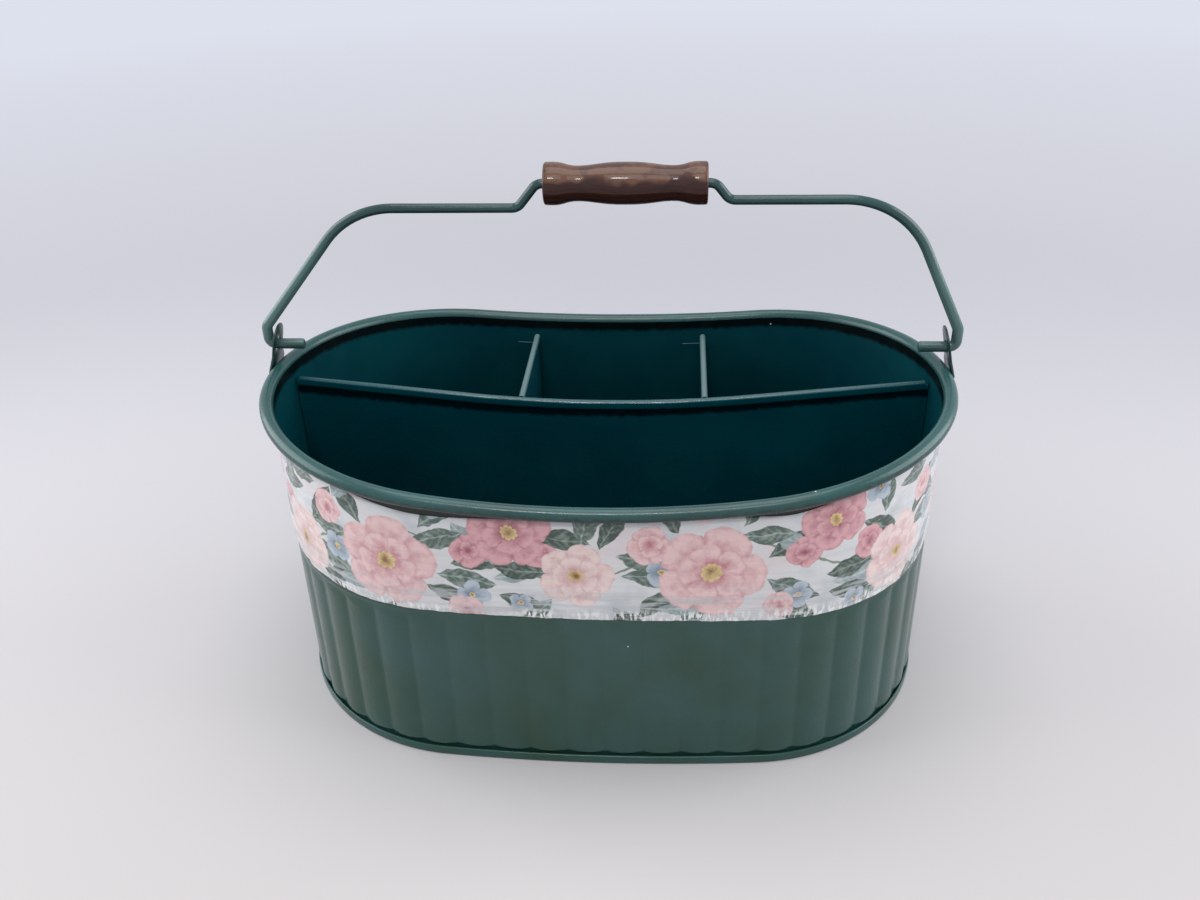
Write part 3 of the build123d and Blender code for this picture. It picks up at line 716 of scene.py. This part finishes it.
# Each motif of a tile: its kind, its place across and up, its size, its turn in radians and its ink
PRINT = [
    ("leaf", 46, 30, 30, 0.55, MOSS), ("leaf", 44, 22, 28, -0.15, SAGE), ("leaf", 40, 12, 26, -0.75, MOSS),
    ("leaf", 34, 46, 27, 1.0, SAGE), ("leaf", 8, 44, 28, 2.3, MOSS), ("leaf", 4, 32, 27, 2.9, SAGE),
    ("leaf", 4, 16, 26, 3.6, MOSS), ("leaf", 20, 6, 22, 4.4, SAGE), ("leaf", 72, 18, 27, 0.1, MIST),
    ("leaf", 70, 10, 24, -0.5, MOSS), ("leaf", 66, 30, 26, 2.6, MIST), ("leaf", 88, 44, 27, -0.2, MOSS),
    ("leaf", 86, 54, 25, 0.5, SAGE), ("leaf", 62, 54, 27, 2.8, MOSS), ("leaf", 58, 44, 25, 3.5, SAGE),
    ("leaf", 118, 34, 28, 0.7, MOSS), ("leaf", 122, 24, 27, 0.0, SAGE), ("leaf", 118, 10, 26, -0.6, MOSS),
    ("leaf", 98, 8, 24, 3.7, SAGE), ("leaf", 94, 22, 27, 2.9, MOSS), ("leaf", 104, 40, 25, 1.7, SAGE),
    ("leaf", 134, 50, 24, 0.5, MIST), ("leaf", 128, 58, 22, 3.0, SAGE), ("leaf", 136, 8, 22, 0.3, MIST),
    ("star", 60, 12, 7.5, 0.2, STAR), ("star", 92, 60, 7.0, 0.4, STAR), ("star", 140, 26, 8.0, 1.0, STAR),
    ("star", 44, 60, 7.0, 0.1, STAR), ("star", 84, 5, 6.0, 0.6, STAR),
    ("bud", 58, 33, 9.0, 0.9, ROSE), ("bud", 134, 42, 9.5, 2.0, PINK), ("bud", 92, 33, 8.0, 4.2, ROSE),
    ("bud", 12, 60, 8.5, 1.2, BLUSH), ("bud", 52, 4, 8.5, 5.0, PINK),
    ("rose", 21, 26, 24.0, 0.25, PINK), ("rose", 108, 20, 19.0, 0.9, BLUSH),
    ("rose", 74, 46, 18.5, 0.5, ROSE),
]
# The garland starts so far round the band, and its stem waves by a swing about a height above the ledge
GARLAND_START = 31.0
STEM_HEIGHT, STEM_SWING = 31.0, 11.0
# Layers of each kind of motif: node group, share of the motif's size, and an ink of its own
LAYERS = {
    "leaf": [(painted_motif("leaf blade", leaf_blade), 1.0, None)],
    "star": [
        (painted_motif("star petals", petals(4, 0.45)), 1.0, None),
        (painted_motif("star heart", petals(6, 0.2)), 0.22, OCHRE),
    ],
    "bud": [
        (painted_motif("bud petals", petals(3, 0.18)), 1.0, None),
        (painted_motif("bud heart", petals(3, 0.3, turn=pi / 2)), 0.55, None),
    ],
    "rose": [
        (painted_motif("outer petals", petals(5, 0.26)), 1.0, None),
        (painted_motif("inner petals", petals(5, 0.3, turn=pi / 2)), 0.62, None),
        (painted_motif("stamen heart", petals(9, 0.35)), 0.2, OCHRE),
    ],
}


def printed_film(name):
    """Gloss printed plastic film over steel: a flower print on a cool white ground with pale washes, a
    smooth face that mirrors the lights, and slight waves where it was rolled on."""
    made, tree, shader = material(name)
    chart = node(tree, "ShaderNodeUVMap", uv_map="UVMap")
    # place on the film in millimetres, from where the garland starts and the film's lower edge
    place = node(
        tree, "ShaderNodeMapping",
        {"Vector": chart, "Location": (-GARLAND_START, -LEDGE_FOOT, 0), "Scale": (1 / MM, 1 / MM, 1)},
    )
    # hand-painted wobble of about a millimetre, over some 8 mm
    wobble = node(tree, "ShaderNodeTexNoise", {"Vector": place, "Scale": 1 / 7.692, "Detail": 2.0}, out=1)
    wobble = node(tree, "ShaderNodeVectorMath", {0: wobble, 1: (0.5, 0.5, 0.5)}, operation="SUBTRACT")
    drawn = node(
        tree, "ShaderNodeVectorMath",
        {0: wobble, 1: (4.5, 4.5, 0.0), 2: place}, operation="MULTIPLY_ADD",
    )
    # watercolour bleed in blots 4.5 mm across
    bleed = node(
        tree, "ShaderNodeTexNoise", {"Vector": place, "Scale": 1 / 4.545, "Detail": 5.0, "Roughness": 0.6},
    )
    bleed = node(tree, "ShaderNodeMapRange", {"Value": bleed, "From Min": 0.3, "From Max": 0.7})
    # washes of pale blue-grey and pink on the white ground, 22 mm across
    wash = node(tree, "ShaderNodeTexNoise", {"Vector": place, "Scale": 1 / 22.22, "Detail": 3.0})
    cool = node(
        tree, "ShaderNodeMapRange", {"Value": wash, "From Min": 0.52, "From Max": 0.72, "To Max": 0.75},
    )
    warm = node(
        tree, "ShaderNodeMapRange", {"Value": wash, "From Min": 0.46, "From Max": 0.3, "To Max": 0.5},
    )
    canvas = node(
        tree, "ShaderNodeMix", {0: cool, 6: linear("#dcdee1"), 7: linear("#a9b5bf")}, **COLOURS,
    )
    canvas = node(tree, "ShaderNodeMix", {0: warm, 6: canvas, 7: linear("#e6cfd0")}, **COLOURS)
    # waving stem, 1.1 mm wide
    parts = node(tree, "ShaderNodeSeparateXYZ", {0: drawn}).node.outputs
    wave = node(tree, "ShaderNodeMath", {0: parts[0], 1: 2 * pi / TILE, 2: 0.4}, operation="MULTIPLY_ADD")
    wave = node(tree, "ShaderNodeMath", {0: wave}, operation="SINE")
    wave = node(tree, "ShaderNodeMath", {0: wave, 1: STEM_SWING, 2: STEM_HEIGHT}, operation="MULTIPLY_ADD")
    away = node(tree, "ShaderNodeMath", {0: parts[1], 1: wave}, operation="SUBTRACT")
    away = node(tree, "ShaderNodeMath", {0: away}, operation="ABSOLUTE")
    stem = node(tree, "ShaderNodeMapRange", {"Value": away, "From Min": 0.75, "From Max": 0.35})
    canvas = node(tree, "ShaderNodeMix", {0: stem, 6: canvas, 7: linear("#7c8f7d")}, **COLOURS)
    for seed, (kind, across, up, size, turn, (pale, deep)) in enumerate(PRINT):
        for group, share, own_ink in LAYERS[kind]:
            ink = own_ink or (pale, deep)
            motif = {
                "Place": drawn, "Canvas": canvas, "Bleed": bleed, "Across": float(across), "Up": float(up),
                "Size": size * share, "Turn": turn, "Seed": 1.9 * seed,
                "Pale": linear(ink[0]), "Deep": linear(ink[1]),
            }
            canvas = node(tree, "ShaderNodeGroup", motif, node_tree=group)
    # level waves of the film 56 mm long and 6 mm high, upright creases 2 mm wide in its lowest 5 mm
    # where it was drawn in, more of them in patches 33 mm across
    level = node(tree, "ShaderNodeMapping", {"Vector": place, "Scale": (1 / 55.56, 1 / 6.25, 1.0)})
    waves = node(tree, "ShaderNodeTexNoise", {"Vector": level, "Scale": 1.0, "Detail": 2.0})
    upright = node(tree, "ShaderNodeMapping", {"Vector": place, "Scale": (1 / 1.818, 1 / 6.25, 1.0)})
    creases = node(tree, "ShaderNodeTexNoise", {"Vector": upright, "Scale": 1.0, "Detail": 3.0})
    patches = node(tree, "ShaderNodeTexNoise", {"Vector": place, "Scale": 1 / 33.33, "Detail": 1.0})
    height_up = node(tree, "ShaderNodeSeparateXYZ", {0: place}).node.outputs[1]
    near_edge = node(tree, "ShaderNodeMapRange", {"Value": height_up, "From Min": 5.5, "From Max": 1.5})
    # level grey streaks in its lower third, 29 mm long and 2.5 mm high: painted shade of the film drawn in
    # over the ledge
    streaks = node(tree, "ShaderNodeMapping", {"Vector": place, "Scale": (1 / 28.57, 1 / 2.5, 1.0)})
    streaks = node(tree, "ShaderNodeTexNoise", {"Vector": streaks, "Scale": 1.0, "Detail": 3.0})
    shade_streaks = node(
        tree, "ShaderNodeMapRange",
        {"Value": streaks, "From Min": 0.48, "From Max": 0.58, "To Max": 0.7},
    )
    low = node(tree, "ShaderNodeMapRange", {"Value": height_up, "From Min": 19.0, "From Max": 9.0})
    shade_streaks = node(tree, "ShaderNodeMath", {0: shade_streaks, 1: low}, operation="MULTIPLY")
    canvas = node(tree, "ShaderNodeMix", {0: shade_streaks, 6: canvas, 7: linear("#c6cace")}, **COLOURS)
    patchy = node(
        tree, "ShaderNodeMapRange",
        {"Value": patches, "From Min": 0.38, "From Max": 0.52, "To Min": 0.15},
    )
    share = node(tree, "ShaderNodeMath", {0: near_edge, 1: patchy}, operation="MULTIPLY")
    # the film is painted near-white along its sharpest creases
    ridge = node(tree, "ShaderNodeMapRange", {"Value": creases, "From Min": 0.5, "From Max": 0.57})
    ridge = node(tree, "ShaderNodeMath", {0: ridge, 1: share}, operation="MULTIPLY")
    canvas = node(tree, "ShaderNodeMix", {0: ridge, 6: canvas, 7: linear("#f6f8f8")}, **COLOURS)
    creases = node(tree, "ShaderNodeMath", {0: creases, 1: share}, operation="MULTIPLY")
    relief = node(tree, "ShaderNodeMath", {0: waves, 1: 2.2, 2: creases}, operation="MULTIPLY_ADD")
    bump = node(tree, "ShaderNodeBump", {"Height": relief, "Strength": 0.6, "Distance": 1.0 * MM})
    feed(tree, shader, {
        "Base Color": canvas, "Normal": bump, "Roughness": 0.16, "IOR": 1.49,
        "Coat Weight": 0.35, "Coat Roughness": 0.06,
    })
    return made


def varnished_wood(name):
    """Dark stained, turned beech under gloss varnish: streaks of grain run along the grip, its upper
    side is painted paler as painted light, with paler worn patches there, and the varnish lies in soft
    lumps that glint."""
    made, tree, shader = material(name)
    where = node(tree, "ShaderNodeTexCoord", out=3)
    # faint grain lines about 0.8 mm wide and 20 mm long
    grain_scale = (spaced(20), spaced(0.8), spaced(0.8))
    drawn = node(tree, "ShaderNodeMapping", {"Vector": where, "Scale": grain_scale})
    grain = node(
        tree, "ShaderNodeTexNoise", {"Vector": drawn, "Scale": 1.0, "Detail": 5.0, "Roughness": 0.6},
    )
    grain = node(
        tree, "ShaderNodeMapRange", {"Value": grain, "From Min": 0.3, "From Max": 0.8, "To Max": 0.6},
    )
    colour = node(
        tree, "ShaderNodeMix", {0: grain, 6: linear("#260a03"), 7: linear("#4a1f0f")}, **COLOURS,
    )
    # the upper side is painted paler all over, as painted light, and paler still in worn patches some 12 mm
    # apart
    top = upward(tree)
    patch = node(tree, "ShaderNodeTexNoise", {"Vector": where, "Scale": spaced(11.76), "Detail": 2.0})
    lit_upper_side = node(tree, "ShaderNodeMath", {0: patch, 1: 1.6, 2: top}, operation="MULTIPLY_ADD")
    lit_upper_side = node(tree, "ShaderNodeMapRange", {"Value": lit_upper_side, "From Min": 1.2, "From Max": 1.42})
    worn_and_lit = node(
        tree, "ShaderNodeMapRange",
        {"Value": patch, "From Min": 0.5, "From Max": 0.55, "To Min": 0.35, "To Max": 0.8},
    )
    worn_and_lit = node(tree, "ShaderNodeMath", {0: worn_and_lit, 1: lit_upper_side}, operation="MULTIPLY")
    colour = node(tree, "ShaderNodeMix", {0: worn_and_lit, 6: colour, 7: linear("#6b4835")}, **COLOURS)
    # soft lumps of varnish 4 mm apart
    varnish = node(tree, "ShaderNodeTexNoise", {"Vector": where, "Scale": spaced(3.846), "Detail": 3.0})
    height = node(tree, "ShaderNodeMath", {0: grain, 1: 0.3, 2: varnish}, operation="MULTIPLY_ADD")
    bump = node(tree, "ShaderNodeBump", {"Height": height, "Strength": 0.85, "Distance": 0.6 * MM})
    feed(tree, shader, {
        "Base Color": colour, "Normal": bump, "Roughness": 0.5, "Specular IOR Level": 0.2,
        "Coat Weight": 0.5, "Coat Roughness": 0.07,
    })
    return made


def drawn_wire(name):
    """Bright drawn steel wire: bare metal under a thin skin that is greyer in patches 2.5 mm across."""
    made, tree, shader = material(name)
    where = node(tree, "ShaderNodeTexCoord", out=3)
    skin_tone = node(tree, "ShaderNodeTexNoise", {"Vector": where, "Scale": spaced(2.5), "Detail": 3.0})
    colour = node(
        tree, "ShaderNodeMix", {0: skin_tone, 6: linear("#8b8d8f"), 7: linear("#b3b5b6")}, **COLOURS,
    )
    feed(tree, shader, {"Base Color": colour, "Metallic": 1.0, "Roughness": 0.35})
    return made


# The bead hides the wall to 5 mm below its centre line, and the long divider's hem ends 11.6 mm below
# it. Each paint has its deep and pale colour and its roughness.
# INSIDE is a darker, bluer copy of the green enamel for inside the basket: painted shade
INSIDE = ("#00353f", "#023f47", 0.42)
# the outer wall is painted dark from the bead down past the film's top edge: painted shade in the gap
wall_paint = gloss_enamel(
    "stoved_gloss_enamel_wall", "#234638", "#2a504d", 0.18, peel_height=0.28, shade_band=("#06100f", -1.0, 11.5),
)
# the bead's lower half is painted darker: painted shade
rim_paint = gloss_enamel(
    "stoved_gloss_enamel_rim", "#1f4543", "#285352", 0.25, peel_height=0.06, shade_band=("#153331", 1.2, 20.0),
)
# the ears take a darker copy of the enamel: painted shade
ear_paint = gloss_enamel("stoved_gloss_enamel_ears", "#12302b", "#1b3c39", 0.3)
# faces inside that look up, such as the top of the floor, are painted paler: painted highlight
inner_paint = gloss_enamel("stoved_gloss_enamel_inside", *INSIDE, lit_top_colour="#2f6264")
# the inside wall is painted near-black down to 7.5 mm below the bead's centre line: painted shade under the
# bead
wall_inside_paint = gloss_enamel(
    "stoved_gloss_enamel_wall_inside", *INSIDE, lit_top_colour="#2f6264", shade_band=("#00090c", -10.0, 7.5),
)
# the cross dividers' hem tops are painted paler: painted highlight
cross_paint = gloss_enamel("stoved_gloss_enamel_cross_dividers", *INSIDE, lit_top_colour="#5a7475")
# the long divider's hem top is painted paler, a painted highlight, and its face under the hem darker, a
# painted shadow
divider_paint = gloss_enamel(
    "stoved_gloss_enamel_divider", "#003d48", "#024751", 0.25, lit_top_colour="#1d5054", shade_band=("#00151b", 12.2, 18.5),
)
# the bail's arms are painted paler low down: painted sheen
bail_paint = gloss_enamel("dipped_gloss_enamel_wire", "#1f3d3b", "#284a4a", 0.2, arm_sheen="#50706d")
floor_paint = gloss_enamel("stoved_gloss_enamel_floor", "#22473a", "#295250", 0.18)
nodes = frame["nodes"]
dress([wall], wall_paint, wall_inside_paint)
dress([pan], floor_paint, inner_paint)
dress(ears, ear_paint)
dress([rim], rim_paint)
dress([long_divider], divider_paint)
dress([nodes["cross_divider_left"], nodes["cross_divider_right"]], cross_paint)
dress([bail], bail_paint)
dress([film], printed_film("gloss_printed_film"))
dress([grip], varnished_wood("dark_varnished_beech"))
dress([nodes["rim_wire"]], drawn_wire("bright_drawn_steel"))


# Stage, camera and light, in metres
def eye_rays(tree):
    """1 for a ray of the eye, a mirror face or a clear body, and 0 for light that falls on things."""
    rays = node(tree, "ShaderNodeLightPath").node.outputs
    sharp = {0: rays["Is Camera Ray"], 1: rays["Is Glossy Ray"]}
    seen = node(tree, "ShaderNodeMath", sharp, operation="MAXIMUM")
    return node(tree, "ShaderNodeMath", {0: seen, 1: rays["Is Transmission Ray"]}, operation="MAXIMUM")


PAPER_REACH = 6.0
# the paper's colour changes over this stretch in depth, and its far tone sets in over these distances
BACK_STARTS, BACK_ENDS = -0.2, 0.5
TONE_STARTS, TONE_ENDS = 0.3, 0.85
FAR_STARTS, FAR_ENDS = 0.7, 1.9


def stage_floor():
    """Pale seamless paper that runs into an evenly pale background behind the object."""
    mesh = bmesh.new()
    bmesh.ops.create_grid(mesh, x_segments=2, y_segments=2, size=PAPER_REACH)
    made = mesh_object("paper_floor", mesh)
    paper, tree, shader = material("seamless_paper")
    where = node(tree, "ShaderNodeTexCoord", out=3)
    depth = node(tree, "ShaderNodeSeparateXYZ", {0: where}).node.outputs[1]
    back = node(tree, "ShaderNodeMapRange", {"Value": depth, "From Min": BACK_STARTS, "From Max": BACK_ENDS})
    colour = node(
        tree, "ShaderNodeMix", {0: back, 6: linear("#c8c5c5"), 7: linear("#c0c0c9")}, **COLOURS,
    )
    # faint cloudy shading of the paper, 200 mm across
    cloud = node(tree, "ShaderNodeTexNoise", {"Vector": where, "Scale": spaced(200), "Detail": 3.0})
    cloud = node(
        tree, "ShaderNodeMapRange", {"Value": cloud, "From Min": 0.3, "From Max": 0.7, "To Max": 0.12},
    )
    colour = node(tree, "ShaderNodeMix", {0: cloud, 6: colour, 7: linear("#bdb9bb")}, **COLOURS)
    feed(tree, shader, {"Base Color": colour, "Roughness": 0.85})
    # away from the object the paper shows an even tone that rises to a paler one, to the eye alone
    level = node(tree, "ShaderNodeVectorMath", {0: where, 1: (1.0, 1.0, 0.0)}, operation="MULTIPLY")
    reach = node(tree, "ShaderNodeVectorMath", {0: level}, out=1, operation="LENGTH")
    far = node(tree, "ShaderNodeMapRange", {"Value": reach, "From Min": FAR_STARTS, "From Max": FAR_ENDS})
    tone = node(tree, "ShaderNodeMix", {0: far, 6: linear("#d0d0d9"), 7: linear("#dde1ed")}, **COLOURS)
    pale = node(tree, "ShaderNodeEmission", {"Color": tone, "Strength": 1.0})
    beyond = node(
        tree, "ShaderNodeMapRange", {"Value": reach, "From Min": TONE_STARTS, "From Max": TONE_ENDS},
        interpolation_type="SMOOTHSTEP",
    )
    share = node(tree, "ShaderNodeMath", {0: beyond, 1: eye_rays(tree)}, operation="MULTIPLY")
    blend = node(tree, "ShaderNodeMixShader", {0: share, 1: shader.outputs[0], 2: pale})
    feed(tree, tree.nodes["Material Output"], {"Surface": blend})
    dress([made], paper)


def look_from(spot, yaw, pitch, roll, lens):
    """Camera at a spot in millimetres, turned by angles in degrees, with a lens for a 36 mm frame."""
    data = bpy.data.cameras.new("camera")
    data.lens, data.sensor_width = lens, 36.0
    made = add_object("camera", data)
    yaw, pitch, roll = radians(yaw), radians(pitch), radians(roll)
    ahead = Vector((-sin(yaw) * cos(pitch), cos(yaw) * cos(pitch), -sin(pitch)))
    right = Vector((cos(yaw), sin(yaw), 0))
    up = right.cross(ahead)
    right, up = right * cos(roll) + up * sin(roll), up * cos(roll) - right * sin(roll)
    turned = Matrix((right, up, -ahead)).transposed().to_4x4()
    made.matrix_world = Matrix.Translation(Vector(spot) * MM) @ turned
    bpy.context.scene.camera = made


def soft_box(name, spot, aim, width, height, watts, colour):
    """Soft lamp that looks at a point."""
    data = bpy.data.lights.new(name, "AREA")
    data.shape, data.size, data.size_y = "RECTANGLE", width, height
    data.energy, data.color = watts, colour
    made = add_object(name, data)
    made.location = spot
    made.rotation_euler = (Vector(aim) - Vector(spot)).to_track_quat("-Z", "Y").to_euler()


stage_floor()
look_from((34.4, -491.9, 410.6), yaw=4.38, pitch=30.67, roll=-1.61, lens=34.5)
WARM, WARMER, COOL = (1.0, 0.99, 0.98), (1.0, 0.99, 0.97), (0.98, 0.99, 1.0)
soft_box("overhead", (0.0, 0.1, 1.6), (0, 0, 0.1), width=1.0, height=1.0, watts=8.0, colour=WARM)
soft_box("front_fill", (0.1, -1.1, 1.7), (0, 0, 0.1), width=1.0, height=0.8, watts=5.5, colour=WARM)
soft_box("ceiling_lamp", (-0.15, -1.2, 1.5), (0, 0, 0.15), width=0.26, height=0.12, watts=4.0, colour=WARMER)
soft_box("left_panel", (-0.95, 0.05, 0.55), (0, 0, 0.12), width=1.0, height=0.8, watts=7.5, colour=COOL)
soft_box("right_panel", (1.0, 0.05, 0.55), (0, 0, 0.12), width=1.0, height=0.8, watts=7.5, colour=COOL)

world = bpy.data.worlds.new("studio")
bpy.context.scene.world = world
world.use_nodes = True
air = world.node_tree
air.nodes.clear()
glow = node(air, "ShaderNodeBackground", {"Color": linear("#e6e8ee"), "Strength": 0.45})
# above the horizon the eye and mirror faces see the tone of the far paper
sky = node(air, "ShaderNodeBackground", {"Color": linear("#dde1ed"), "Strength": 1.0})
air_shown = node(air, "ShaderNodeMixShader", {0: eye_rays(air), 1: glow, 2: sky})
node(air, "ShaderNodeOutputWorld", {"Surface": air_shown})
bpy.context.scene.view_settings.view_transform = "Standard"
